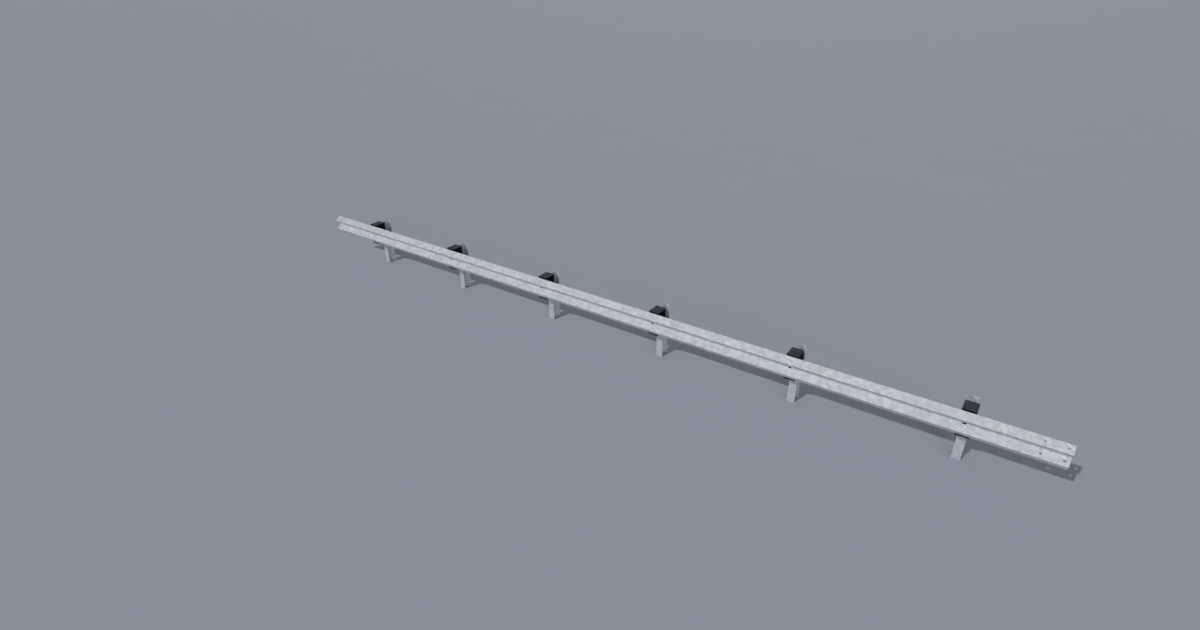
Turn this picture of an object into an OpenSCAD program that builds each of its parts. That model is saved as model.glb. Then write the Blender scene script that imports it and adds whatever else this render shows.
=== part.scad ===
// Highway guardrail, one row of whole bays: W-beam panels lapped at mid-span, on blockouts
// and I-section posts. X runs along the row, the traffic side faces -Y, the ground is z = 0,
// and the origin is the centre of the first post's foot.

/* [Row] */
// Distance between post centres
bay = 2000; // [1200:50:4000]
// Number of posts, one in the middle of each bay
post_count = 6; // [2:1:9]
// Bays that one beam panel covers
panel_bays = 2; // [1:1:3]
// Height of the beam's upper edge above the ground
rail_top = 780; // [600:1:1100]

/* [W beam] */
// Height of the section
rail_h = 312; // [270:1:380]
// Depth of the section, crest to back
rail_d = 74; // [50:1:100]
// Sheet thickness
sheet_t = 2.7; // [2:0.1:4]
// Distance between the two crests
crest_pitch = 160; // [130:1:200]
// Bend radius at the valley and the crests, to the middle of the sheet
bend_r = 11; // [8:1:24]
// Bend radius at the edge lips, to the middle of the sheet
lip_r = 8; // [5:1:16]
// Height of the flat strip along the valley
valley_flat = 14; // [10:1:30]
// Height of the flat strip along each crest
crest_flat = 6; // [2:1:14]
// Height of the straight lip at each edge
lip_flat = 4; // [1:0.5:8]

/* [Laps] */
// Length over which one panel lies on the next
lap_len = 318; // [280:1:420]
// Clearance between the two sheets of a lap
lap_gap = 0.2; // [0.1:0.1:0.5]
// Clearance between a panel's hidden end and the step of the panel over it
lap_clear = 2; // [1:0.5:6]
// Length of the step that brings a panel's end forward over its neighbour
step_len = 12; // [6:1:40]

/* [Slots in the beam] */
// Height of a splice slot
splice_slot_w = 23; // [18:1:26]
// Length of a splice slot, along the row
splice_slot_l = 29; // [26:1:36]
// Distance between the two columns of splice slots
splice_pitch = 216; // [180:1:230]
// Height of the slot for the post bolt
post_slot_w = 20; // [18:1:24]
// Play between the post bolt slot's end and the bolt hole behind it
post_slot_play = 0.5; // [0:0.5:4]

/* [Posts] */
// Width of the flanges
flange_w = 100; // [80:1:130]
// Depth over both flanges
post_d = 150; // [100:1:200]
// Thickness of the flanges
flange_t = 5.5; // [4:0.5:12]
// Thickness of the web
web_t = 4.3; // [3:0.1:9]
// Radius of the fillets between web and flanges
root_r = 6; // [3:1:12]
// How far a post's top lies below its blockout's top
post_drop = 10; // [0:1:60]

/* [Blockouts] */
// Width along the row
block_w = 155; // [100:1:200]
// Depth between beam and post
block_d = 200; // [100:1:300]
// Height, centred on the beam
block_h = 360; // [240:1:440]
// Radius of the upright edges
block_edge_r = 5; // [1:1:10]

/* [Post bolt holes] */
// Diameter of the holes through blockouts and post flanges
bolt_hole_d = 18; // [16.5:0.5:20]
// Distance of the holes from the middle of the post's web
bolt_off = 22; // [16:1:30]

/* [Hidden] */
$fn = 32;
arc_steps = 7;
past = 1;

row_start = -bay / 2;
row_end = row_start + post_count * bay;
panel_count = ceil(post_count / panel_bays);
rail_mid = rail_top - rail_h / 2;
rail_back = -post_d / 2 - block_d;
block_top = rail_mid + block_h / 2;
post_top = block_top - post_drop;
post_slot_l = 2 * (bolt_off + post_slot_play) + post_slot_w;
forward = sheet_t + lap_gap;

// The middle of the sheet runs from the valley over a crest to a lip. Each flank is the
// straight line that touches the round bends at its two ends, so its slope follows from them.
wave = rail_d - sheet_t;
crest_z = crest_pitch / 2;
inner_rise = crest_z - valley_flat / 2 - crest_flat / 2;
outer_rise = rail_h / 2 - crest_z - crest_flat / 2 - lip_flat;
inner_slope = flank_slope(wave, inner_rise, 2 * bend_r);
outer_slope = flank_slope(wave, outer_rise, bend_r + lip_r);
valley_y = -sheet_t / 2;
crest_y = valley_y - wave;

function post_x(i) = (i - 1) * bay;
function panel_seam(i) = row_start + i * panel_bays * bay;
function panel_start(i) = i == 1 ? row_start : panel_seam(i - 1) - lap_len / 2;
function panel_end(i) = i == panel_count ? row_end : panel_seam(i) + lap_len / 2;

// Angle between the plate's plane and a flank that joins two opposite bends whose radii add
// up to radii, across a depth and a height.
function flank_slope(depth, height, radii) =
    let (side = depth - radii, reach = norm([side, height]))
    atan2(side, height) + asin(radii / reach);

function arc(centre, r, from, to) = [
    for (k = [0:arc_steps])
        let (a = from + (to - from) * k / arc_steps)
        centre + r * [cos(a), sin(a)]
];

// Upper half of the section as points (y, z), at a distance back behind the sheet's middle
function half_line(back) = concat(
    arc([valley_y - bend_r, valley_flat / 2], bend_r + back, 0, inner_slope),
    arc([crest_y + bend_r, crest_z - crest_flat / 2], bend_r - back, 180 + inner_slope, 180),
    arc([crest_y + bend_r, crest_z + crest_flat / 2], bend_r - back, 180, 180 - outer_slope),
    arc([valley_y - lip_r, rail_h / 2 - lip_flat], lip_r + back, -outer_slope, 0),
    [[valley_y + back, rail_h / 2]]
);

function reversed(points) = [for (k = [len(points) - 1 : -1 : 0]) points[k]];
function flipped(points) = [for (p = points) [p[0], -p[1]]];
function full_line(back) = concat(reversed(flipped(half_line(back))), half_line(back));

// Middle of a flank, between the last point of one bend and the first of the next
function flank_middle(line, bend) =
    let (last = bend * (arc_steps + 1) + arc_steps)
    (line[last] + line[last + 1]) / 2;

// A stretch of W-shaped sheet between two places along the row and two depths in the sheet
module w_sheet(x0, x1, front, back) {
    translate([x0, rail_back, rail_mid])
        rotate([90, 0, 90])
            linear_extrude(x1 - x0)
                polygon(concat(full_line(front), reversed(full_line(back))));
}

// A slot along the row, cut along Z through its centre
module slot_cutter(long, wide, deep) {
    run = (long - wide) / 2;
    for (side = [-1, 1])
        translate([side * run, 0, 0])
            cylinder(h = deep, d = wide, center = true);
    cube([2 * run, wide, deep], center = true);
}

// One column of four splice slots, square to the flanks
module splice_column() {
    line = half_line(0);
    inner = flank_middle(line, 0);
    outer = flank_middle(line, 2);
    deep = 8 * sheet_t;
    for (upside = [0, 1])
        mirror([0, 0, upside]) {
            translate([0, inner[0], inner[1]])
                rotate([inner_slope - 90, 0, 0])
                    slot_cutter(splice_slot_l, splice_slot_w, deep);
            translate([0, outer[0], outer[1]])
                rotate([90 - outer_slope, 0, 0])
                    slot_cutter(splice_slot_l, splice_slot_w, deep);
        }
}

// Both columns of splice slots of a lap, centred on its middle
module splice_slots(x) {
    for (side = [-1, 1])
        translate([x + side * splice_pitch / 2, rail_back, rail_mid])
            splice_column();
}

module rail_panel(i) {
    x0 = panel_start(i);
    x1 = panel_end(i);
    step_x = x0 + lap_len + lap_clear;
    front = -sheet_t / 2;
    back = sheet_t / 2;
    color("silver")
        difference() {
            union() {
                w_sheet(step_x, x1, front, back);
                w_sheet(step_x, step_x + step_len, front - forward, back);
                w_sheet(x0, step_x + step_len, front - forward, back - forward);
            }
            splice_slots(x0 + lap_len / 2);
            splice_slots(x1 - lap_len / 2);
            for (k = [1:post_count])
                if (post_x(k) > x0 && post_x(k) < x1)
                    translate([post_x(k), rail_back, rail_mid])
                        rotate([90, 0, 0])
                            slot_cutter(post_slot_l, post_slot_w, 8 * sheet_t);
        }
}

module bolt_hole(x, y0, y1) {
    translate([x, y0 - past, rail_mid])
        rotate([-90, 0, 0])
            cylinder(h = y1 - y0 + 2 * past, d = bolt_hole_d);
}

module blockout(i) {
    inset = block_edge_r;
    x = post_x(i);
    color([0.09, 0.09, 0.1])
        difference() {
            translate([x - block_w / 2, rail_back, block_top - block_h])
                linear_extrude(block_h)
                    union() {
                        translate([inset, 0])
                            square([block_w - 2 * inset, block_d]);
                        translate([0, inset])
                            square([block_w, block_d - 2 * inset]);
                        for (cx = [inset, block_w - inset], cy = [inset, block_d - inset])
                            translate([cx, cy])
                                circle(inset);
                    }
            bolt_hole(x + bolt_off, rail_back, rail_back + block_d);
        }
}

module i_section() {
    inside = post_d / 2 - flange_t;
    for (side = [-1, 1])
        translate([-flange_w / 2, side * (post_d - flange_t) / 2 - flange_t / 2])
            square([flange_w, flange_t]);
    difference() {
        square([web_t + 2 * root_r, 2 * inside], center = true);
        for (side = [-1, 1])
            translate([side * (web_t / 2 + root_r), 0]) {
                square([2 * root_r, 2 * (inside - root_r)], center = true);
                for (end = [-1, 1])
                    translate([0, end * (inside - root_r)])
                        circle(root_r);
            }
    }
}

// Both flanges are drilled on both sides of the web, so that a post can face either way
module post(i) {
    x = post_x(i);
    color("lightslategray")
        difference() {
            translate([x, 0, 0])
                linear_extrude(post_top)
                    i_section();
            for (side = [-1, 1])
                bolt_hole(x + side * bolt_off, -post_d / 2, post_d / 2);
        }
}

for (i = [1:panel_count])
    rail_panel(i);
for (i = [1:post_count])
    blockout(i);
for (i = [1:post_count])
    post(i);
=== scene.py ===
"""Looks of a highway guardrail row: W-beam panels on black blockouts and galvanised I-section posts.

Everything is in metres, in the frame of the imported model: X runs along the row, the traffic side
faces -Y and the ground is z = 0. The beam panels are pressed here from a flat pattern, with their
slots, rounded edges and lap steps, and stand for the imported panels. Posts and blockouts keep their
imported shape, with their edges eased. The bolts are made here.
"""

from __future__ import annotations

import logging
import math
from bisect import bisect_left, bisect_right
from dataclasses import dataclass, field
from enum import Enum
from itertools import product
from typing import Callable, Sequence

import bpy
import numpy as np
from mathutils import Matrix, Vector
from mathutils.geometry import delaunay_2d_cdt


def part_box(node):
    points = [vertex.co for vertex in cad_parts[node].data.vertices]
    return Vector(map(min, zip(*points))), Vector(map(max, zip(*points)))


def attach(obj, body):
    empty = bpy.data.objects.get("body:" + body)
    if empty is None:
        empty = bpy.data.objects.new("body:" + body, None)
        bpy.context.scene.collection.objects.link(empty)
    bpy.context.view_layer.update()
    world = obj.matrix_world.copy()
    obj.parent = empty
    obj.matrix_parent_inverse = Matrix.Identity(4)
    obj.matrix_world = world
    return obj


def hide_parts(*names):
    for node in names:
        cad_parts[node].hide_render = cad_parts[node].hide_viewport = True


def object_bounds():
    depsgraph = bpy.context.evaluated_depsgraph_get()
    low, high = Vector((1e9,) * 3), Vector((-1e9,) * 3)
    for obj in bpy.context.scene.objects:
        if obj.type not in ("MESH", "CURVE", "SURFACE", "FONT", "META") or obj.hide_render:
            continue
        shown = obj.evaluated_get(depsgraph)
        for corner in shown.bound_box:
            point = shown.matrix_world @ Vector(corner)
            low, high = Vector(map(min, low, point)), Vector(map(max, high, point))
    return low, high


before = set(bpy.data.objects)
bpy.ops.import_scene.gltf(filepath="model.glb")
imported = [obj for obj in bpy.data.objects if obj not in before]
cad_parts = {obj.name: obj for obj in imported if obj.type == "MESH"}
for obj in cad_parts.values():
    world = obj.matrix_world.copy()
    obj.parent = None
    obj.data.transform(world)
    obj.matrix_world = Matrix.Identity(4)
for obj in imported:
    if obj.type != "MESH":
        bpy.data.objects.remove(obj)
CAD_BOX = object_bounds()

LOG = logging.getLogger("guardrail")
BODY = "root"
MM = 0.001
NEARLY_ZERO = 1e-7

Point2 = tuple[float, float]
Colour = tuple[float, float, float]
Socket = bpy.types.NodeSocket
Node = bpy.types.Node
Material = bpy.types.Material
Piece = bpy.types.Object
Mesh = bpy.types.Mesh
Array = np.ndarray
Surface = Callable[[Array, Array, Array], Array]
Ring = Callable[[float], float]
Rings = list[tuple[float, Ring]]


class Kind(Enum):
    """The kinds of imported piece, by the start of their nodes' names."""

    PANEL = "rail_panel_"
    BLOCK = "blockout_"
    POST = "post_"

    def nodes(self) -> list[str]:
        """Lists the nodes of this kind, in order along the row."""
        count = sum(node.startswith(self.value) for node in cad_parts)
        return [f"{self.value}{number}" for number in range(1, count + 1)]


# ---- node trees


class NodeSheet:
    """A shader node tree that is filled node by node, from left to right in lanes."""

    COLUMN_WIDTH, LANE_HEIGHT, LANES = 190, 160, 4

    def __init__(self, tree: bpy.types.NodeTree) -> None:
        """Starts from an empty tree.

        Args:
            tree: The node tree of a material, world or group.
        """
        self.tree = tree
        self.column = 0
        tree.nodes.clear()

    def add(self, kind: str, settings: dict | None = None, **inputs: object) -> Node:
        """Adds one node.

        Args:
            kind: The node's type, without the "ShaderNode" in front.
            settings: Properties of the node itself.
            **inputs: Values or output sockets for its inputs, by name with _ for a space.

        Returns:
            The new node.
        """
        node = self.tree.nodes.new(kind if kind.startswith("Node") else "ShaderNode" + kind)
        self.column += 1
        node.location = (self.column * self.COLUMN_WIDTH,
                         -(self.column % self.LANES) * self.LANE_HEIGHT)
        for name, value in (settings or {}).items():
            setattr(node, name, value)
        for name, value in inputs.items():
            self.feed(node, name.replace("_", " "), value)
        return node

    def feed(self, node: Node, name: str | int, value: object) -> None:
        """Sets an input to a value, or links an output socket to it.

        Args:
            node: The node that has the input.
            name: The input's name or number.
            value: A number, colour or output socket.
        """
        socket = node.inputs[name]
        if isinstance(value, Socket):
            self.tree.links.new(value, socket)
        elif isinstance(value, tuple) and len(value) == 3 and socket.type == "RGBA":
            socket.default_value = (*value, 1.0)
        else:
            socket.default_value = value

    def maths(self, operation: str, *values: object, clamp: bool = False) -> Socket:
        """Adds a Math node and returns its output.

        Args:
            operation: The Math node's operation.
            *values: Its inputs in order.
            clamp: Whether the result is held between 0 and 1.

        Returns:
            The output socket.
        """
        node = self.add("Math", {"operation": operation, "use_clamp": clamp})
        for number, value in enumerate(values):
            self.feed(node, number, value)
        return node.outputs[0]

    def times(self, value: object, factor: object, clamp: bool = False) -> Socket:
        """Adds a Math node that multiplies, and returns its output."""
        return self.maths("MULTIPLY", value, factor, clamp=clamp)

    def spread(self, value: object, low: float, high: float,
               to_low: float = 0.0, to_high: float = 1.0) -> Socket:
        """Stretches a value smoothly from one range to another.

        Args:
            value: The socket to stretch.
            low: Where the source range starts.
            high: Where the source range ends.
            to_low: The result at low.
            to_high: The result at high.

        Returns:
            The output socket.
        """
        node = self.add("MapRange", {"interpolation_type": "SMOOTHSTEP"}, Value=value)
        for number, limit in enumerate((low, high, to_low, to_high), 1):
            self.feed(node, number, limit)
        return node.outputs[0]

    def blend(self, amount: object, first: object, second: object) -> Socket:
        """Mixes two colours.

        Args:
            amount: How much of the second colour shows.
            first: The first colour.
            second: The second colour.

        Returns:
            The mixed colour's socket.
        """
        # A Mix node has its colours at inputs 6 and 7 and its mixed colour at output 2.
        node = self.add("Mix", {"data_type": "RGBA"})
        for number, value in ((0, amount), (6, first), (7, second)):
            self.feed(node, number, value)
        return node.outputs[2]


class Effect:
    """A shader node group with named inputs and outputs, built once and placed in many materials."""

    def __init__(self, name: str, inputs: dict[str, float], outputs: Sequence[str],
                 wire: Callable[[NodeSheet, Node], dict[str, object]]) -> None:
        """Builds the group.

        Args:
            name: The group's name.
            inputs: Each input's name and usual value.
            outputs: The names of the outputs, all of them numbers that vary over the surface.
            wire: Fills the group's sheet and gives the socket for each output.
        """
        self.group = bpy.data.node_groups.new(name, "ShaderNodeTree")
        sheet = NodeSheet(self.group)
        sockets = self.group.interface
        for label, usual in inputs.items():
            socket = sockets.new_socket(label, in_out="INPUT", socket_type="NodeSocketFloat")
            socket.default_value = usual
        for label in outputs:
            sockets.new_socket(label, in_out="OUTPUT", socket_type="NodeSocketFloat")
        found = wire(sheet, sheet.add("NodeGroupInput"))
        leave = sheet.add("NodeGroupOutput")
        for label in outputs:
            sheet.feed(leave, label, found[label])

    def place(self, sheet: NodeSheet, **values: float) -> Node:
        """Places the group in a material.

        Args:
            sheet: The material's sheet.
            **values: Values for the group's inputs, by name with _ for a space.

        Returns:
            The group node.
        """
        return sheet.add("Group", {"node_tree": self.group}, **values)


def new_skin(name: str) -> tuple[Material, NodeSheet]:
    """Gives a new material and its empty sheet."""
    made = bpy.data.materials.new(name)
    made.use_nodes = True
    return made, NodeSheet(made.node_tree)


def own_place(sheet: NodeSheet) -> Socket:
    """Gives a piece's own coordinates, which are metres in the row frame."""
    return sheet.add("TexCoord").outputs["Object"]


def wire_spangle(sheet: NodeSheet, entry: Node) -> dict[str, object]:
    """Zinc crystals: flat cells of two sizes, each with a brightness of its own.

    Args:
        sheet: The group's sheet.
        entry: The group's input node.

    Returns:
        The socket of each output.
    """
    large_share, small_share, smaller_by, bend = 0.65, 0.35, 2.6, 6 * MM
    place = own_place(sheet)
    scale = sheet.maths("DIVIDE", 1.0, entry.outputs["Crystal Size"])
    drift = sheet.add("TexNoise", {"noise_dimensions": "3D"}, Vector=place, Scale=60.0, Detail=2.0)
    bent = sheet.add("VectorMath", {"operation": "MULTIPLY_ADD"})
    for number, value in enumerate((drift.outputs["Color"], (bend, bend, bend), place)):
        sheet.feed(bent, number, value)
    large = sheet.add("TexVoronoi", {"feature": "F1"}, Vector=bent.outputs[0], Scale=scale)
    small = sheet.add("TexVoronoi", {"feature": "F1"}, Vector=bent.outputs[0],
                      Scale=sheet.times(scale, smaller_by))
    parts = [sheet.add("SeparateColor", Color=cells.outputs["Color"]).outputs[0]
             for cells in (large, small)]
    return {"Crystals": sheet.maths("ADD", sheet.times(parts[0], large_share),
                                    sheet.times(parts[1], small_share))}


def wire_weather(sheet: NodeSheet, entry: Node) -> dict[str, object]:
    """Weathering: cloudy patches, and run-off streaks that hang down from above.

    Args:
        sheet: The group's sheet.
        entry: The group's input node.

    Returns:
        The socket of each output.
    """
    place = own_place(sheet)
    scale = sheet.maths("DIVIDE", 1.0, entry.outputs["Patch Size"])
    cloud = sheet.add("TexNoise", Vector=place, Scale=scale, Detail=6.0, Roughness=0.62,
                      Distortion=0.4)
    across, down = 34.0, 3.2
    tall = sheet.add("Mapping", Vector=place)
    sheet.feed(tall, "Scale", (across, across, down))
    runs = sheet.add("TexNoise", Vector=tall.outputs[0], Scale=1.0, Detail=4.0, Roughness=0.55)
    return {"Patches": sheet.spread(cloud.outputs["Fac"], low=0.36, high=0.64),
            "Streaks": sheet.spread(runs.outputs["Fac"], low=0.52, high=0.78)}


def wire_dust_and_painted_light(sheet: NodeSheet, entry: Node) -> dict[str, object]:
    """Dust that settles on what faces up, thinner where the surface leans; on the blockouts it also
    serves as painted light that makes their tops lighter.

    Args:
        sheet: The group's sheet.
        entry: The group's input node.

    Returns:
        The socket of each output.
    """
    up = sheet.add("SeparateXYZ", Vector=sheet.add("NewGeometry").outputs["Normal"]).outputs["Z"]
    facing = sheet.spread(up, low=0.15, high=0.95)
    cloud = sheet.add("TexNoise", Vector=own_place(sheet), Scale=22.0, Detail=7.0, Roughness=0.7)
    broken = sheet.spread(cloud.outputs["Fac"], low=0.28, high=0.72, to_low=0.35)
    film = sheet.maths("ADD", sheet.times(facing, broken),
                       sheet.times(broken, entry.outputs["Film"]))
    return {"Mask": sheet.times(film, entry.outputs["Amount"], clamp=True)}


def wire_edges(sheet: NodeSheet, entry: Node) -> dict[str, object]:
    """Rubbed edges: a broken line along every corner.

    Args:
        sheet: The group's sheet.
        entry: The group's input node.

    Returns:
        The socket of each output.
    """
    soft = sheet.add("Bevel", {"samples": 4}, Radius=entry.outputs["Width"])
    lean = sheet.add("VectorMath", {"operation": "DOT_PRODUCT"})
    sheet.feed(lean, 0, soft.outputs[0])
    sheet.feed(lean, 1, sheet.add("NewGeometry").outputs["Normal"])
    corner = sheet.spread(lean.outputs["Value"], low=0.995, high=0.86)
    cloud = sheet.add("TexNoise", Vector=own_place(sheet), Scale=140.0, Detail=5.0, Roughness=0.65)
    broken = sheet.spread(cloud.outputs["Fac"], low=0.40, high=0.60)
    return {"Mask": sheet.times(sheet.times(corner, broken), entry.outputs["Amount"], clamp=True)}


def wire_grain(sheet: NodeSheet, entry: Node) -> dict[str, object]:
    """Fine grain for bump and roughness, at the size of moulded or cast texture.

    Args:
        sheet: The group's sheet.
        entry: The group's input node.

    Returns:
        The socket of each output.
    """
    scale = sheet.maths("DIVIDE", 1.0, entry.outputs["Grain Size"])
    fine = sheet.add("TexNoise", Vector=own_place(sheet), Scale=scale, Detail=4.0, Roughness=0.6)
    return {"Height": fine.outputs["Fac"]}


class Workshop:
    """The effects that the finishes share."""

    def __init__(self) -> None:
        """Builds each effect once."""
        self.spangle = Effect("zinc_spangle", {"Crystal Size": 0.012}, ("Crystals",), wire_spangle)
        self.weather = Effect("weathering", {"Patch Size": 0.35}, ("Patches", "Streaks"),
                              wire_weather)
        self.dust_and_painted_light = Effect("settled_dust_and_painted_light", {"Amount": 0.5, "Film": 0.1}, ("Mask",), wire_dust_and_painted_light)
        self.edges = Effect("rubbed_edges", {"Width": 0.003, "Amount": 0.6}, ("Mask",), wire_edges)
        self.grain = Effect("fine_grain", {"Grain Size": 0.002}, ("Height",), wire_grain)


# ---- finishes


@dataclass(frozen=True)
class ZincFinish:
    """Hot-dip galvanised steel that has weathered outdoors."""

    name: str
    bright: Colour
    dull: Colour
    cool: Colour
    stain: Colour
    dirt_and_painted_light: Colour
    metallic: float = 0.35
    roughness: float = 0.62
    crystal: float = 0.013
    spangle: float = 0.5
    sparkle: float = 0.07
    patch: float = 0.07
    broader_by: float = 4.2
    clouding: float = 0.9
    streaking: float = 0.25
    cooling: float = 0.5
    dust_and_painted_light: float = 0.25
    film: float = 0.12
    dust_matt: float = 0.3
    dust_cover: float = 0.8
    edge_width: float = 2.2 * MM
    edge_wear: float = 0.7
    grain: float = 1.6 * MM
    grain_height: float = 0.5
    relief: float = 0.12 * MM

    def material(self, shop: Workshop) -> Material:
        """Makes the finish's material.

        Args:
            shop: The shared effects.

        Returns:
            The material.
        """
        made, sheet = new_skin(self.name)
        crystals = shop.spangle.place(sheet, Crystal_Size=self.crystal)
        weather = shop.weather.place(sheet, Patch_Size=self.patch)
        broad = shop.weather.place(sheet, Patch_Size=self.patch * self.broader_by)
        dust_and_painted_light = shop.dust_and_painted_light.place(sheet, Amount=self.dust_and_painted_light, Film=self.film)
        edges = shop.edges.place(sheet, Width=self.edge_width, Amount=self.edge_wear)
        grain = shop.grain.place(sheet, Grain_Size=self.grain)
        cells, dust_and_painted_light_mask = crystals.outputs["Crystals"], dust_and_painted_light.outputs["Mask"]

        level = sheet.maths("ADD", sheet.times(cells, self.spangle),
                            sheet.times(weather.outputs["Patches"], self.clouding))
        level = sheet.maths("DIVIDE", level, self.spangle + self.clouding, clamp=True)
        skin = sheet.blend(level, self.dull, self.bright)
        skin = sheet.blend(sheet.times(broad.outputs["Patches"], self.cooling), skin, self.cool)
        skin = sheet.blend(sheet.times(weather.outputs["Streaks"], self.streaking), skin,
                           self.stain)
        skin = sheet.blend(dust_and_painted_light_mask, skin, self.dirt_and_painted_light)
        skin = sheet.blend(edges.outputs["Mask"], skin, self.bright)

        rough = sheet.maths("ADD", sheet.times(cells, -2 * self.sparkle),
                            self.roughness + self.sparkle)
        rough = sheet.maths("ADD", rough, sheet.times(dust_and_painted_light_mask, self.dust_matt), clamp=True)
        shine = sheet.maths("MULTIPLY_ADD", dust_and_painted_light_mask, -self.dust_cover * self.metallic,
                            self.metallic, clamp=True)
        height = sheet.maths("ADD", sheet.times(grain.outputs["Height"], self.grain_height),
                             cells)
        bump = sheet.add("Bump", Strength=0.25, Distance=self.relief, Height=height)
        shader = sheet.add("BsdfPrincipled", Base_Color=skin, Roughness=rough, Metallic=shine,
                           Normal=bump.outputs[0])
        sheet.add("OutputMaterial", Surface=shader.outputs[0])
        return made


@dataclass(frozen=True)
class PlasticFinish:
    """Black moulded plastic, lighter on top with dust that also stands for painted light on the
    tops, and scuffed along its edges.
    """

    name: str
    body: Colour
    bloom: Colour
    dirt_and_painted_light: Colour
    scuff: Colour
    roughness: float = 0.62
    gloss: float = 0.05
    patch: float = 0.11
    blooming: float = 0.6
    streaking: float = 0.04
    # A heavy dust amount: it lightens the blockouts' tops, partly as dust and partly as painted
    # light on the tops.
    dust_and_painted_light: float = 0.52
    film: float = 0.004
    dust_matt: float = 0.35
    edge_width: float = 4 * MM
    edge_wear: float = 0.4
    grain: float = 1.1 * MM
    grain_matt: float = 0.2
    wave: float = 14 * MM
    wave_height: float = 2.0
    relief: float = 0.3 * MM

    def material(self, shop: Workshop) -> Material:
        """Makes the finish's material.

        Args:
            shop: The shared effects.

        Returns:
            The material.
        """
        made, sheet = new_skin(self.name)
        weather = shop.weather.place(sheet, Patch_Size=self.patch)
        dust_and_painted_light = shop.dust_and_painted_light.place(sheet, Amount=self.dust_and_painted_light, Film=self.film)
        edges = shop.edges.place(sheet, Width=self.edge_width, Amount=self.edge_wear)
        grain = shop.grain.place(sheet, Grain_Size=self.grain).outputs["Height"]
        waves = shop.grain.place(sheet, Grain_Size=self.wave).outputs["Height"]
        dust_and_painted_light_mask = dust_and_painted_light.outputs["Mask"]

        skin = sheet.blend(sheet.times(weather.outputs["Patches"], self.blooming), self.body,
                           self.bloom)
        skin = sheet.blend(sheet.times(weather.outputs["Streaks"], self.streaking), skin,
                           self.dirt_and_painted_light)
        # The dust colour on upward faces is partly dust and partly painted light that makes the tops
        # lighter and bluer.
        skin = sheet.blend(dust_and_painted_light_mask, skin, self.dirt_and_painted_light)
        skin = sheet.blend(edges.outputs["Mask"], skin, self.scuff)
        rough = sheet.maths("ADD", sheet.times(grain, self.grain_matt),
                            self.roughness - self.grain_matt / 2)
        rough = sheet.maths("ADD", rough, sheet.times(dust_and_painted_light_mask, self.dust_matt), clamp=True)
        height = sheet.maths("ADD", sheet.times(waves, self.wave_height), grain)
        bump = sheet.add("Bump", Strength=0.35, Distance=self.relief, Height=height)
        shader = sheet.add("BsdfPrincipled", Base_Color=skin, Roughness=rough, Metallic=0.0,
                           Normal=bump.outputs[0])
        sheet.feed(shader, "Specular IOR Level", self.gloss)
        sheet.add("OutputMaterial", Surface=shader.outputs[0])
        return made


@dataclass(frozen=True)
class FloorFinish:
    """Plain pale studio floor."""

    name: str = "studio_floor"
    colour: Colour = (0.325, 0.358, 0.402)
    paler_by: float = 1.012
    patch: float = 2.5

    def material(self, shop: Workshop) -> Material:
        """Makes the floor's material.

        Args:
            shop: The shared effects.

        Returns:
            The material.
        """
        made, sheet = new_skin(self.name)
        cloud = shop.weather.place(sheet, Patch_Size=self.patch)
        paler = tuple(self.paler_by * part for part in self.colour)
        skin = sheet.blend(cloud.outputs["Patches"], self.colour, paler)
        shader = sheet.add("BsdfPrincipled", Base_Color=skin, Roughness=0.9)
        sheet.feed(shader, "Specular IOR Level", 0.2)
        sheet.add("OutputMaterial", Surface=shader.outputs[0])
        return made


# ---- plates with slots


def smooth_mesh(name: str, points: list, faces: list[tuple[int, ...]]) -> Mesh:
    """Makes a mesh that is smooth all over."""
    mesh = bpy.data.meshes.new(name)
    mesh.from_pydata(points, [], faces)
    mesh.polygons.foreach_set("use_smooth", [True] * len(mesh.polygons))
    return mesh


@dataclass(frozen=True)
class SlotHole:
    """A round-ended slot in a flat pattern, long side along x."""

    x: float
    s: float
    length: float
    width: float

    def outline(self, grow: float, per_end: int = 12) -> list[Point2]:
        """Walks round the slot.

        Args:
            grow: How far outside the slot's edge the walk runs.
            per_end: Steps round each end.

        Returns:
            The points, anticlockwise from the right end's bottom.
        """
        run = (self.length - self.width) / 2
        radius = self.width / 2 + grow
        found = []
        for side, start in ((1, -math.pi / 2), (-1, math.pi / 2)):
            for step in range(per_end + 1):
                turn = start + math.pi * step / per_end
                found.append((self.x + side * run + radius * math.cos(turn),
                              self.s + radius * math.sin(turn)))
        return found

    def gap(self, point: Point2) -> float:
        """Gives a point's distance outside the slot's edge, or less than 0 inside."""
        run = (self.length - self.width) / 2
        over = max(abs(point[0] - self.x) - run, 0.0)
        return math.hypot(over, point[1] - self.s) - self.width / 2


@dataclass
class CutPattern:
    """A flat pattern cut out and meshed: points, faces, and each cut edge with its way out."""

    points: list[Point2]
    faces: list[tuple[int, ...]]
    edges: list[tuple[list[int], list[Point2]]]


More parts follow.
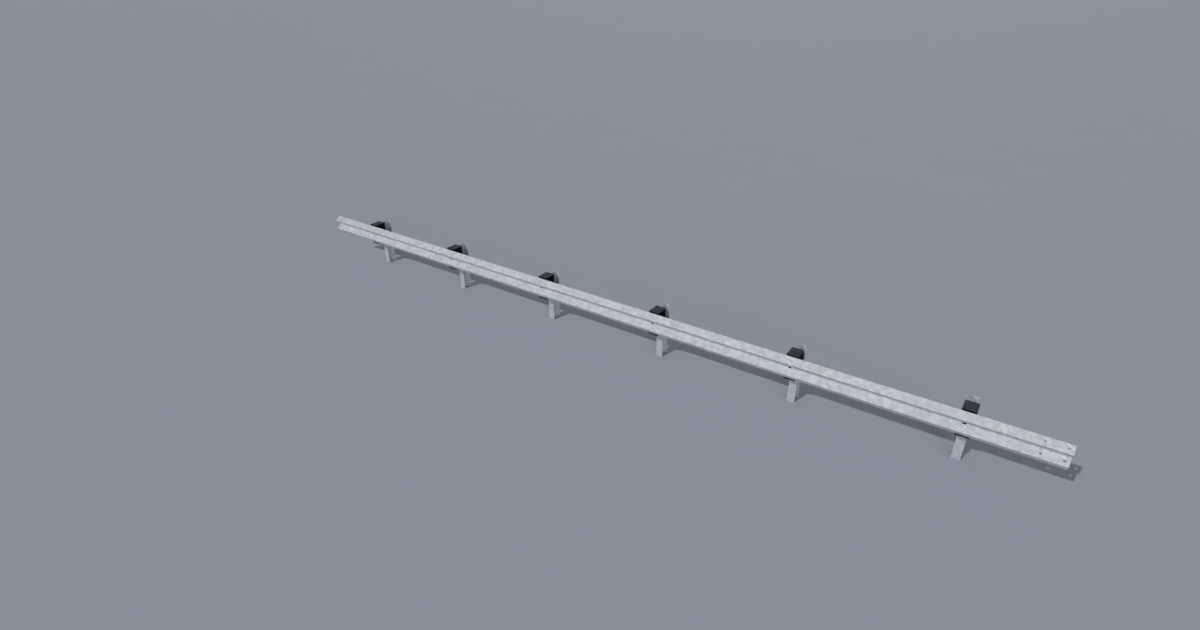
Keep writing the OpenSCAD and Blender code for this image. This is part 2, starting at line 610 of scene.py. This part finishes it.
@dataclass(frozen=True)
class FlatPattern:
    """A plate before it is bent: a grid of stations and rows, with slots cut in it."""

    stations: list[float]
    rows: list[float]
    holes: list[SlotHole]
    edge_r: float
    margin: float = 3 * MM
    spare: float = 1.3 * MM

    def cut(self) -> CutPattern:
        """Meshes the plate, inside its rounded edges.

        Returns:
            The meshed pattern.
        """
        across = len(self.stations)
        points = [(x, s) for s in self.rows for x in self.stations]
        faces: list[tuple[int, ...]] = []
        edges: list[tuple[list[int], list[Point2]]] = []
        taken: set[tuple[int, int]] = set()
        for hole in self.holes:
            left, right = self._around(self.stations, hole.x, hole.length)
            low, high = self._around(self.rows, hole.s, hole.width)
            taken.update((i, j) for i in range(left, right) for j in range(low, high))
            block = [j * across + i for j in range(low, high + 1) for i in range(left, right + 1)]
            keep = [n for n in block if hole.gap(points[n]) > self.edge_r + self.spare]
            rim = hole.outline(self.edge_r)
            inner = hole.outline(0.0)
            ring = list(range(len(points), len(points) + len(rim)))
            points.extend(rim)
            faces.extend(self._fill(points, keep, ring))
            edges.append((ring[::-1], [(b[0] - a[0], b[1] - a[1])
                                       for a, b in zip(rim, inner)][::-1]))
        for j in range(len(self.rows) - 1):
            for i in range(across - 1):
                if (i, j) not in taken:
                    n = j * across + i
                    faces.append((n, n + 1, n + 1 + across, n + across))
        edges.append(self._border(across))
        return CutPattern(points, faces, edges)

    def _around(self, lines: list[float], middle: float, size: float) -> tuple[int, int]:
        """Gives the numbers of the nearest lines on both sides of a slot and its margin."""
        return (bisect_right(lines, middle - size / 2 - self.margin) - 1,
                bisect_left(lines, middle + size / 2 + self.margin))

    @staticmethod
    def _fill(points: list[Point2], keep: list[int], ring: list[int]) -> list[tuple[int, ...]]:
        """Fills the plate between a slot's rim and the grid points around it.

        Args:
            points: All points of the pattern.
            keep: The grid points to use.
            ring: The points of the slot's rim, in order.

        Returns:
            The faces.
        """
        used = keep + ring
        first = len(keep)
        loop = [(first + k, first + (k + 1) % len(ring)) for k in range(len(ring))]
        flat = [Vector(points[n]) for n in used]
        _, _, triangles, origins, _, _ = delaunay_2d_cdt(flat, loop, [], 0, NEARLY_ZERO)
        found = []
        for triangle in triangles:
            names = [origins[n][0] for n in triangle]
            if all(n >= first for n in names):
                continue
            a, b, c = (flat[n] for n in names)
            if (b - a).cross(c - a) < 0:
                names.reverse()
            found.append(tuple(used[n] for n in names))
        return found

    def _border(self, across: int) -> tuple[list[int], list[Point2]]:
        """Gives the outer edge, anticlockwise, and each point's way out.

        Args:
            across: Stations in a row.

        Returns:
            Point numbers and ways out.
        """
        down = len(self.rows)
        walk = [(i, 0) for i in range(across - 1)]
        walk += [(across - 1, j) for j in range(down - 1)]
        walk += [(i, down - 1) for i in range(across - 1, 0, -1)]
        walk += [(0, j) for j in range(down - 1, 0, -1)]
        away = [(self.edge_r * ((i == across - 1) - (i == 0)),
                 self.edge_r * ((j == down - 1) - (j == 0))) for i, j in walk]
        return [j * across + i for i, j in walk], away


@dataclass(frozen=True)
class Plate:
    """A cut pattern given its thickness, its rounded edges and its bends."""

    pattern: CutPattern
    thickness: float
    edge_r: float
    surface: Surface
    nudge: float = 0.05 * MM

    def mesh(self, name: str) -> Mesh:
        """Makes the closed mesh, with each corner's normal taken from the bent surface.

        Args:
            name: The mesh's name.

        Returns:
            The mesh.
        """
        flat = np.array(self.pattern.points)
        count = len(flat)
        half = self.thickness / 2
        tangents = [self._slope(flat, 0), self._slope(flat, 1)]
        front = np.cross(tangents[0], tangents[1])
        front /= np.linalg.norm(front, axis=1)[:, None]
        layers = [self._at(flat, -half), self._at(flat, half)]
        normals = [front, -front]
        faces = list(self.pattern.faces)
        faces += [tuple(n + count for n in reversed(face)) for face in self.pattern.faces]
        total = 2 * count
        for ring, away in self.pattern.edges:
            spots, way = flat[ring], np.array(away)
            outward = way[:, :1] * tangents[0][ring] + way[:, 1:] * tangents[1][ring]
            outward /= np.linalg.norm(outward, axis=1)[:, None]
            numbers = [np.array(ring)]
            # The edge is rounded in steps of 45 degrees, from the front face to the back one.
            for side, turn in ((-1, 45), (-1, 90), (1, 90), (1, 45)):
                lean = math.radians(turn)
                depth = side * (half - self.edge_r * (1 - math.cos(lean)))
                layers.append(self._at(spots + way * math.sin(lean), depth))
                normals.append(outward * math.sin(lean)
                               - side * front[ring] * math.cos(lean))
                numbers.append(np.arange(total, total + len(ring)))
                total += len(ring)
            numbers.append(np.array(ring) + count)
            for near, far in zip(numbers, numbers[1:]):
                for k in range(len(ring)):
                    after = (k + 1) % len(ring)
                    faces.append((near[k], far[k], far[after], near[after]))
        mesh = smooth_mesh(name, np.vstack(layers).tolist(),
                           [tuple(int(n) for n in face) for face in faces])
        mesh.normals_split_custom_set_from_vertices(np.vstack(normals).tolist())
        mesh.validate()
        return mesh

    def _at(self, flat: Array, depth: float) -> Array:
        """Bends flat points that lie at one depth in the sheet."""
        return self.surface(flat[:, 0], flat[:, 1], np.full(len(flat), depth))

    def _slope(self, flat: Array, way: int) -> Array:
        """Gives the surface's unit direction along x (way 0) or across the pattern (way 1)."""
        nudge = np.zeros(2)
        nudge[way] = self.nudge
        found = self._at(flat + nudge, 0.0) - self._at(flat - nudge, 0.0)
        return found / np.linalg.norm(found, axis=1)[:, None]


# ---- the beam


@dataclass(frozen=True)
class Stretch:
    """A straight or round stretch of the section's middle line, from the valley outwards."""

    length: float
    bend: float
    parts: int


@dataclass(frozen=True)
class WSection:
    """The W-shaped section, as heights and bends of the middle of the sheet."""

    height: float = 312 * MM
    depth: float = 74 * MM
    sheet: float = 2.7 * MM
    crest_pitch: float = 160 * MM
    bend_r: float = 11 * MM
    lip_r: float = 8 * MM
    valley_flat: float = 14 * MM
    crest_flat: float = 6 * MM
    lip_flat: float = 4 * MM
    arc_parts: int = 9
    flank_parts: int = 6

    def flank(self, rise: float, radii: float) -> tuple[float, float]:
        """Fits the straight flank that touches two opposite bends.

        Args:
            rise: Height between the starts of the two bends.
            radii: Sum of their radii.

        Returns:
            The flank's slope from upright, and its straight length.
        """
        side = self.depth - self.sheet - radii
        reach = math.hypot(side, rise)
        return (math.atan2(side, rise) + math.asin(radii / reach),
                math.sqrt(reach * reach - radii * radii))

    def inner_flank(self) -> tuple[float, float]:
        """Gives the slope and straight length of the flank between valley and crest."""
        rise = self.crest_pitch / 2 - self.valley_flat / 2 - self.crest_flat / 2
        return self.flank(rise, 2 * self.bend_r)

    def stretches(self) -> list[Stretch]:
        """Lists the upper half's stretches, from the valley's middle to the lip's edge."""
        inner, inner_run = self.inner_flank()
        outer, outer_run = self.flank(
            self.height / 2 - self.crest_pitch / 2 - self.crest_flat / 2 - self.lip_flat,
            self.bend_r + self.lip_r)
        return [
            Stretch(self.valley_flat / 2, 0.0, 1),
            Stretch(inner * self.bend_r, 1 / self.bend_r, self.arc_parts),
            Stretch(inner_run, 0.0, self.flank_parts),
            Stretch(inner * self.bend_r, -1 / self.bend_r, self.arc_parts),
            Stretch(self.crest_flat, 0.0, 1),
            Stretch(outer * self.bend_r, -1 / self.bend_r, self.arc_parts),
            Stretch(outer_run, 0.0, self.flank_parts),
            Stretch(outer * self.lip_r, 1 / self.lip_r, self.arc_parts - 2),
            Stretch(self.lip_flat, 0.0, 1),
        ]

    def flank_middles(self) -> tuple[float, float]:
        """Gives how far from the valley's middle, along the sheet, the two flanks' middles are."""
        lengths = [stretch.length for stretch in self.stretches()]
        return (sum(lengths[:2]) + lengths[2] / 2, sum(lengths[:6]) + lengths[6] / 2)

    def rows(self, edge_r: float) -> list[float]:
        """Lists the pattern's rows, with both outer ones moved in for the rounded edge."""
        half = [0.0]
        for stretch in self.stretches():
            half += self._steps(half[-1], stretch)
        half[-1] -= edge_r
        return [-s for s in reversed(half[1:])] + half

    @staticmethod
    def _steps(start: float, stretch: Stretch) -> list[float]:
        """Divides one stretch evenly."""
        return [start + stretch.length * (k + 1) / stretch.parts for k in range(stretch.parts)]

    def place(self, s: Array) -> tuple[Array, Array, Array, Array]:
        """Bends distances along the sheet into the section.

        Args:
            s: Distances from the valley's middle, less than 0 in the lower half.

        Returns:
            y and z of the sheet's middle, and y and z of the direction towards its back.
        """
        along = np.abs(s)
        y = np.full_like(along, -self.sheet / 2)
        z = np.zeros_like(along)
        turn = np.zeros_like(along)
        start, heading = 0.0, 0.0
        stretches = self.stretches()
        for number, stretch in enumerate(stretches):
            last = number == len(stretches) - 1
            run = np.clip(along - start, 0.0, None if last else stretch.length)
            if stretch.bend:
                now = heading + stretch.bend * run
                y += (np.cos(now) - math.cos(heading)) / stretch.bend
                z += (np.sin(now) - math.sin(heading)) / stretch.bend
                turn += stretch.bend * run
                heading += stretch.bend * stretch.length
            else:
                y += -math.sin(heading) * run
                z += math.cos(heading) * run
            start += stretch.length
        side = np.where(s < 0, -1.0, 1.0)
        return y, side * z, np.cos(turn), side * np.sin(turn)


@dataclass(frozen=True)
class Lap:
    """How one panel's end steps forward and lies over its neighbour, and the slots there."""

    length: float = 318 * MM
    forward: float = 2.9 * MM
    clear: float = 2 * MM
    step: float = 12 * MM
    slot_length: float = 29 * MM
    slot_width: float = 23 * MM
    pitch: float = 216 * MM
    step_parts: int = 8


@dataclass
class BeamPanel:
    """One pressed beam panel."""

    number: int
    node: str
    post_places: list[float]
    section: WSection
    lap: Lap
    post_slot: Point2 = (65 * MM, 20 * MM)
    edge_r: float = 0.6 * MM
    grid: float = 125 * MM
    slot_grid: float = 7 * MM

    def __post_init__(self) -> None:
        """Takes the panel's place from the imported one."""
        low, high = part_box(self.node)
        self.start, self.end = low.x, high.x
        self.back, self.middle = high.y, (low.z + high.z) / 2

    def bend(self, x: Array, s: Array, depth: Array) -> Array:
        """Puts points of the flat pattern in their place in the row.

        Args:
            x: Places along the row.
            s: Distances across the sheet from the valley's middle.
            depth: Depths in the sheet, from its middle towards the back.

        Returns:
            The points as rows of x, y and z.
        """
        y, z, back_y, back_z = self.section.place(s)
        step_start = self.start + self.lap.length + self.lap.clear
        part = np.clip((x - step_start) / self.lap.step, 0.0, 1.0)
        level = depth - self.lap.forward * (1 - part * part * (3 - 2 * part))
        return np.stack([x, self.back + y + back_y * level, self.middle + z + back_z * level], 1)

    def holes(self) -> list[SlotHole]:
        """Lists the panel's slots: eight at each end and one at each post."""
        found = []
        lap = self.lap
        middles = (self.start + lap.length / 2, self.end - lap.length / 2)
        for middle, side, flank, upside in product(middles, (-1, 1), self.section.flank_middles(),
                                                   (-1, 1)):
            found.append(SlotHole(middle + side * lap.pitch / 2, upside * flank,
                                  lap.slot_length, lap.slot_width))
        for x in self.post_places:
            if self.start < x < self.end:
                found.append(SlotHole(x, 0.0, *self.post_slot))
        return found

    def stations(self, holes: list[SlotHole]) -> list[float]:
        """Lists the pattern's places along the row: close at slots and at the step, wide elsewhere.

        Args:
            holes: The panel's slots.

        Returns:
            The places in order.
        """
        step_start = self.start + self.lap.length + self.lap.clear
        marks = {self.start + self.edge_r, self.end - self.edge_r}
        marks.update(step_start + self.lap.step * k / self.lap.step_parts
                     for k in range(self.lap.step_parts + 1))
        for hole in holes:
            reach = hole.length / 2 + self.slot_grid
            parts = round(2 * reach / self.slot_grid)
            # Whole micrometres, so that the lines of slots above each other fall together.
            marks.update(round(hole.x - reach + 2 * reach * k / parts, 6)
                         for k in range(parts + 1))
        lines = sorted(marks)
        found = [lines[0]]
        for line in lines[1:]:
            gap = line - found[-1]
            parts = math.ceil(gap / self.grid)
            found += [found[-1] + gap * (k + 1) / parts for k in range(parts)]
        return found

    def build(self, skin: Material) -> Piece:
        """Presses the panel.

        Args:
            skin: Its material.

        Returns:
            The panel.
        """
        holes = self.holes()
        pattern = FlatPattern(self.stations(holes), self.section.rows(self.edge_r), holes,
                              self.edge_r)
        plate = Plate(pattern.cut(), self.section.sheet, self.edge_r, self.bend)
        name = f"beam_panel_{self.number}"
        return place_piece(name, plate.mesh(name), skin, [self.node])


def put(name: str, data: bpy.types.ID) -> Piece:
    """Puts a new object in the scene."""
    made = bpy.data.objects.new(name, data)
    bpy.context.scene.collection.objects.link(made)
    return made


def place_piece(name: str, mesh: Mesh, skin: Material, stands_for: Sequence[str] = ()) -> Piece:
    """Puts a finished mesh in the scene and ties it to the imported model.

    Args:
        name: The piece's name.
        mesh: Its mesh, in the row frame.
        skin: Its material.
        stands_for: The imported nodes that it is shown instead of.

    Returns:
        The piece.
    """
    mesh.materials.append(skin)
    piece = put(name, mesh)
    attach(piece, BODY)
    if stands_for:
        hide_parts(*stands_for)
    LOG.info("%s: %d points, %d faces", name, len(mesh.vertices), len(mesh.polygons))
    return piece


# ---- the bolts


@dataclass
class TurnedMesh:
    """Rings of points round an axis, joined into closed parts; several parts make one mesh."""

    around: int = 48
    points: list[Vector] = field(default_factory=list)
    faces: list[tuple[int, ...]] = field(default_factory=list)

    def add(self, rings: Rings, place: Matrix) -> None:
        """Adds one closed part.

        Args:
            rings: Each ring's height, and its radius at an angle, from bottom to top.
            place: Where the part's axis and foot go.
        """
        first = len(self.points)
        for height, radius in rings:
            for k in range(self.around):
                turn = 2 * math.pi * k / self.around
                reach = radius(turn)
                self.points.append(place @ Vector((reach * math.cos(turn),
                                                   reach * math.sin(turn), height)))
        for ring in range(len(rings) - 1):
            for k in range(self.around):
                a = first + ring * self.around + k
                b = first + ring * self.around + (k + 1) % self.around
                self.faces.append((a, b, b + self.around, a + self.around))
        last = first + (len(rings) - 1) * self.around
        self.faces.append(tuple(first + k for k in reversed(range(self.around))))
        self.faces.append(tuple(last + k for k in range(self.around)))

    def mesh(self, name: str, crease: float = 32.0) -> Mesh:
        """Makes the mesh, smooth except across sharp corners.

        Args:
            name: The mesh's name.
            crease: The angle in degrees above which a corner stays sharp.

        Returns:
            The mesh.
        """
        mesh = smooth_mesh(name, [tuple(point) for point in self.points], self.faces)
        mesh.set_sharp_from_angle(angle=math.radians(crease))
        return mesh


def round_ring(radius: float) -> Ring:
    """Gives a ring of one radius."""
    return lambda turn: radius


def hex_ring(flats: float, limit: float) -> Ring:
    """Gives a hexagon's ring, cut back to a circle as a chamfer does.

    Args:
        flats: Distance across the flats.
        limit: Largest radius left.

    Returns:
        The radius at an angle.
    """
    def radius(turn: float) -> float:
        """Gives the radius at an angle."""
        sector = (turn + math.pi / 6) % (math.pi / 3) - math.pi / 6
        return min(flats / 2 / math.cos(sector), limit)
    return radius


def oval_ring(length: float, width: float) -> Ring:
    """Gives an oval ring, long side along x.

    Args:
        length: The long side.
        width: The short side.

    Returns:
        The radius at an angle.
    """
    def radius(turn: float) -> float:
        """Gives the radius at an angle."""
        return 1 / math.hypot(2 * math.cos(turn) / length, 2 * math.sin(turn) / width)
    return radius


@dataclass(frozen=True)
class GuardrailBolt:
    """A button-head bolt with an oval neck, and its hexagon nut."""

    shank: float = 15.9 * MM
    head: float = 33.5 * MM
    head_height: float = 8.6 * MM
    neck: Point2 = (26 * MM, 19.5 * MM)
    nut_flats: float = 31.7 * MM
    nut_height: float = 15.5 * MM
    tail: float = 7.5 * MM
    thread: float = 2.3 * MM
    rim: float = 1.6 * MM
    joint: float = 0.5 * MM
    chamfer: float = 1.8 * MM
    dome_parts: int = 10
    thread_parts: int = 6

    def add_to(self, turned: TurnedMesh, seat: Matrix, grip: float, neck_depth: float) -> None:
        """Adds the bolt and its nut to a mesh.

        Args:
            turned: The mesh to add to.
            seat: The place of the head's underside, with Z towards the traffic.
            grip: Distance from the head's underside back to the nut's seat.
            neck_depth: How deep the oval neck goes.
        """
        neck, core = oval_ring(*self.neck), round_ring(self.shank / 2)
        back = seat @ Matrix.Translation((0, 0, -grip)) @ Matrix.Rotation(math.pi, 4, "X")
        turned.add(self._head_rings(), seat)
        turned.add([(-neck_depth, neck), (self.joint, neck)], seat)
        turned.add(self._nut_rings(), back)
        turned.add([(-(grip - neck_depth), core), (self.nut_height, core)], back)
        turned.add(self._thread_rings(),
                   back @ Matrix.Translation((0, 0, self.nut_height - self.joint)))

    def _head_rings(self) -> Rings:
        """Lists the head's rings: a short upright rim, then a dome."""
        radius, flat_top = self.head / 2, 0.6
        # The rim's rounded foot: heights, and how far it is drawn in there.
        foot = ((0.0, 0.7 * MM), (0.5 * MM, 0.1 * MM), (self.rim, 0.0))
        rings = [(height, round_ring(radius - inset)) for height, inset in foot]
        for step in range(1, self.dome_parts + 1):
            lean = math.pi / 2 * step / (self.dome_parts + flat_top)
            rings.append((self.rim + (self.head_height - self.rim) * math.sin(lean),
                          round_ring(radius * math.cos(lean))))
        return rings

    def _nut_rings(self) -> Rings:
        """Lists the nut's rings: a bearing face, the hexagon with both chamfers, and its top."""
        flats, bearing = self.nut_flats, 0.6 * MM
        corner, inside = flats / math.sqrt(3), flats / 2
        # The round faces are a little smaller than the circle inside the flats.
        return [(0.0, round_ring(inside * 0.96)), (bearing, round_ring(inside * 0.96)),
                (bearing, hex_ring(flats, inside * 0.99)),
                (bearing + 1.4 * MM, hex_ring(flats, corner)),
                (self.nut_height - self.chamfer, hex_ring(flats, corner)),
                (self.nut_height, hex_ring(flats, inside * 0.97))]

    def _thread_rings(self) -> Rings:
        """Lists the threaded end's rings, which climb round the shank, down to a small chamfer."""
        depth, tip = 0.6 * self.thread, 0.8 * MM

        def ridge(height: float) -> Ring:
            """Gives the threaded ring at a height."""
            def radius(turn: float) -> float:
                """Gives the radius at an angle."""
                phase = (height / self.thread - turn / (2 * math.pi)) % 1.0
                return self.shank / 2 - depth * (1 - abs(2 * phase - 1))
            return radius

        count = math.ceil((self.tail + self.joint) / self.thread * self.thread_parts)
        heights = [self.thread * k / self.thread_parts for k in range(count)]
        rings = [(height, ridge(height)) for height in heights]
        rings.append((heights[-1] + tip, round_ring(self.shank / 2 - 1.5 * depth)))
        return rings


@dataclass
class SpliceBolts:
    """The eight bolts of one lap, as one piece."""

    number: int
    panel: BeamPanel
    bolt: GuardrailBolt
    neck_depth: float = 2.4 * MM

    def build(self, skin: Material) -> Piece:
        """Sets the bolts square to the flanks, at the stepped end of the panel that lies on top.

        Args:
            skin: Their material.

        Returns:
            The piece.
        """
        panel = self.panel
        half = panel.section.sheet / 2
        turned = TurnedMesh()
        for hole in panel.holes():
            if hole.x > panel.start + panel.lap.length or hole.width == panel.post_slot[1]:
                continue
            spot, s = np.array([hole.x]), np.array([hole.s])
            outside = Vector(panel.bend(spot, s, np.array([-half]))[0])
            inside = Vector(panel.bend(spot, s, np.array([half]))[0])
            seat = Matrix.Translation(outside) @ facing((outside - inside).normalized())
            self.bolt.add_to(turned, seat, panel.section.sheet + panel.lap.forward,
                             self.neck_depth)
        name = f"splice_bolts_{self.number}"
        return place_piece(name, turned.mesh(name), skin)


def facing(ahead: Vector) -> Matrix:
    """Turns Z to a direction and keeps X along the row.

    Args:
        ahead: The direction, square to the row.

    Returns:
        The turn.
    """
    along = Vector((1.0, 0.0, 0.0))
    side = ahead.cross(along).normalized()
    return Matrix((along, side, ahead)).transposed().to_4x4()


@dataclass
class PostBolt:
    """The long bolt through the beam's valley, a blockout and a post's near flange."""

    number: int
    post: str
    panel: BeamPanel
    bolt: GuardrailBolt
    offset: float = 22 * MM
    flange: float = 5.5 * MM
    neck_depth: float = 6.5 * MM

    def build(self, skin: Material) -> Piece:
        """Sets the bolt, with its head resting on the bends beside the valley.

        Args:
            skin: Its material.

        Returns:
            The piece.
        """
        low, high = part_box(self.post)
        x = (low.x + high.x) / 2 + self.offset
        seat_y = self.panel.back - self.panel.section.sheet - self.head_rise()
        nut_y = low.y + self.flange
        seat = Matrix.Translation((x, seat_y, self.panel.middle)) @ facing(Vector((0, -1, 0)))
        turned = TurnedMesh()
        self.bolt.add_to(turned, seat, nut_y - seat_y, self.neck_depth)
        name = f"post_bolt_{self.number}"
        return place_piece(name, turned.mesh(name), skin)

    def head_rise(self) -> float:
        """Gives how far in front of the valley's flat the head's rim meets the bends."""
        section = self.panel.section
        inner, _ = section.inner_flank()
        face_r = section.bend_r - section.sheet / 2
        reach = self.bolt.head / 2 - section.valley_flat / 2
        if reach < face_r * math.sin(inner):
            return face_r - math.sqrt(face_r * face_r - reach * reach)
        return (face_r * (1 - math.cos(inner))
                + (reach - face_r * math.sin(inner)) * math.tan(inner))


# ---- posts and blockouts


@dataclass(frozen=True)
class EasedParts:
    """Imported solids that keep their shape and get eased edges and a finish."""

    kind: Kind
    ease: float
    segments: int
    same_point: float = 0.01 * MM
    same_face: float = 1.0
    corner: float = 40.0

    def dress(self, skin: Material) -> None:
        """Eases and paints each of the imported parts.

        Args:
            skin: Their material.
        """
        for node in self.kind.nodes():
            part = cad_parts[node]
            for name, kind, settings in (
                    ("one_skin", "WELD", {"merge_threshold": self.same_point}),
                    ("whole_faces", "DECIMATE", {"decimate_type": "DISSOLVE",
                                                 "angle_limit": math.radians(self.same_face)}),
                    ("eased_edges", "BEVEL", {"width": self.ease, "segments": self.segments,
                                              "limit_method": "ANGLE",
                                              "angle_limit": math.radians(self.corner),
                                              "harden_normals": True,
                                              "use_clamp_overlap": True})):
                change = part.modifiers.new(name, kind)
                for setting, value in settings.items():
                    setattr(change, setting, value)
            for holder in part.material_slots:
                holder.material = skin
            LOG.info("%s: eased by %.1f mm", part.name, self.ease / MM)


# ---- the studio


@dataclass(frozen=True)
class StudioLight:
    """A far light: the way its light travels, its power, and its width in degrees."""

    name: str
    way: tuple[float, float, float]
    power: float
    width: float


@dataclass(frozen=True)
class Studio:
    """Pale floor, soft light and the camera."""

    floor_size: float = 400.0
    floor_drop: float = 0.2 * MM
    lights: tuple[StudioLight, ...] = (
        StudioLight("key", (0.290, 1.130, -1.0), 1.85, 1.2),
        StudioLight("right_fill", (-0.66, 0.75, 0.0), 2.7, 40.0),
        StudioLight("back_fill", (0.35, -0.93, -0.08), 0.6, 50.0),
    )
    sky: Colour = (0.272, 0.278, 0.290)
    camera_place: tuple[float, float, float] = (10.168, -7.522, 5.179)
    camera_turn: float = 35.037
    camera_drop: float = 27.956
    lens: float = 20.34
    film_width: float = 36.0
    lamp_distance: float = 6.0

    def build(self, skin: Material) -> None:
        """Makes the floor, the light and the camera.

        Args:
            skin: The floor's material.
        """
        scene = bpy.context.scene
        scene.view_settings.view_transform = "Standard"
        half = self.floor_size / 2
        middle = (CAD_BOX[0] + CAD_BOX[1]) / 2
        level = CAD_BOX[0].z - self.floor_drop
        mesh = bpy.data.meshes.new("floor")
        mesh.from_pydata([(middle.x + a * half, middle.y + b * half, level)
                          for a, b in ((-1, -1), (1, -1), (1, 1), (-1, 1))], [], [(0, 1, 2, 3)])
        mesh.materials.append(skin)
        put("floor", mesh)

        world = bpy.data.worlds.new("studio")
        world.use_nodes = True
        sheet = NodeSheet(world.node_tree)
        glow = sheet.add("Background", Color=self.sky, Strength=1.0)
        sheet.add("OutputWorld", Surface=glow.outputs[0])
        scene.world = world

        for light in self.lights:
            lamp = bpy.data.lights.new(light.name, "SUN")
            lamp.energy = light.power
            lamp.angle = math.radians(light.width)
            holder = put(light.name, lamp)
            holder.rotation_euler = Vector(light.way).to_track_quat("-Z", "Y").to_euler()
            holder.location = middle - self.lamp_distance * Vector(light.way)

        lens = bpy.data.cameras.new("camera")
        lens.lens = self.lens
        lens.sensor_width = self.film_width
        lens.clip_end = self.floor_size
        camera = put("camera", lens)
        camera.location = self.camera_place
        camera.rotation_euler = (math.radians(90 - self.camera_drop), 0.0,
                                 math.radians(self.camera_turn))
        scene.camera = camera
        LOG.info("studio: floor, %d lights and camera", len(self.lights))


@dataclass
class GuardrailRow:
    """The whole row: panels, laps, posts and blockouts."""

    shop: Workshop
    section: WSection = field(default_factory=WSection)
    lap: Lap = field(default_factory=Lap)
    splice_bolt: GuardrailBolt = field(default_factory=GuardrailBolt)
    post_bolt: GuardrailBolt = field(default_factory=lambda: GuardrailBolt(nut_flats=27 * MM))

    def build(self) -> None:
        """Builds and dresses every piece in order."""
        beam = ZincFinish("weathered_beam_zinc", bright=(0.61, 0.625, 0.655),
                          dull=(0.325, 0.345, 0.375), cool=(0.42, 0.47, 0.50),
                          stain=(0.38, 0.39, 0.39), dirt_and_painted_light=(0.50, 0.49, 0.47))
        post = ZincFinish("weathered_post_zinc", bright=(0.51, 0.535, 0.57),
                          dull=(0.35, 0.38, 0.41), cool=(0.40, 0.445, 0.49),
                          stain=(0.34, 0.35, 0.36), dirt_and_painted_light=(0.44, 0.43, 0.41),
                          crystal=0.009, streaking=0.4)
        bolt = ZincFinish("bolt_zinc", bright=(0.62, 0.64, 0.66), dull=(0.44, 0.46, 0.48),
                          cool=(0.52, 0.54, 0.56), stain=(0.33, 0.30, 0.27),
                          dirt_and_painted_light=(0.42, 0.40, 0.37), crystal=0.004, patch=0.03, roughness=0.42)
        # The blockouts' bluish dirt colour, laid on their tops by the dust mask, is partly painted
        # light on the tops.
        block = PlasticFinish("moulded_black_plastic", body=(0.0008, 0.0010, 0.0020),
                              bloom=(0.0035, 0.004, 0.006), dirt_and_painted_light=(0.135, 0.142, 0.165),
                              scuff=(0.035, 0.036, 0.04))
        posts = {node: sum(corner.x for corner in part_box(node)) / 2 for node in Kind.POST.nodes()}
        beam_skin, bolt_skin = beam.material(self.shop), bolt.material(self.shop)
        panels = [BeamPanel(number, node, list(posts.values()), self.section, self.lap)
                  for number, node in enumerate(Kind.PANEL.nodes(), 1)]
        for panel in panels:
            panel.build(beam_skin)
        for panel in panels[1:]:
            SpliceBolts(panel.number - 1, panel, self.splice_bolt).build(bolt_skin)
        for number, (node, x) in enumerate(posts.items(), 1):
            panel = next(panel for panel in panels if panel.start < x < panel.end)
            PostBolt(number, node, panel, self.post_bolt).build(bolt_skin)
        EasedParts(Kind.POST, ease=0.8 * MM, segments=2).dress(post.material(self.shop))
        EasedParts(Kind.BLOCK, ease=3 * MM, segments=3).dress(block.material(self.shop))


def main() -> None:
    """Builds the row and its studio."""
    logging.basicConfig(level=logging.INFO, format="%(name)s: %(message)s")
    shop = Workshop()
    Studio().build(FloorFinish().material(shop))
    GuardrailRow(shop).build()


if __name__ == "__main__":
    main()
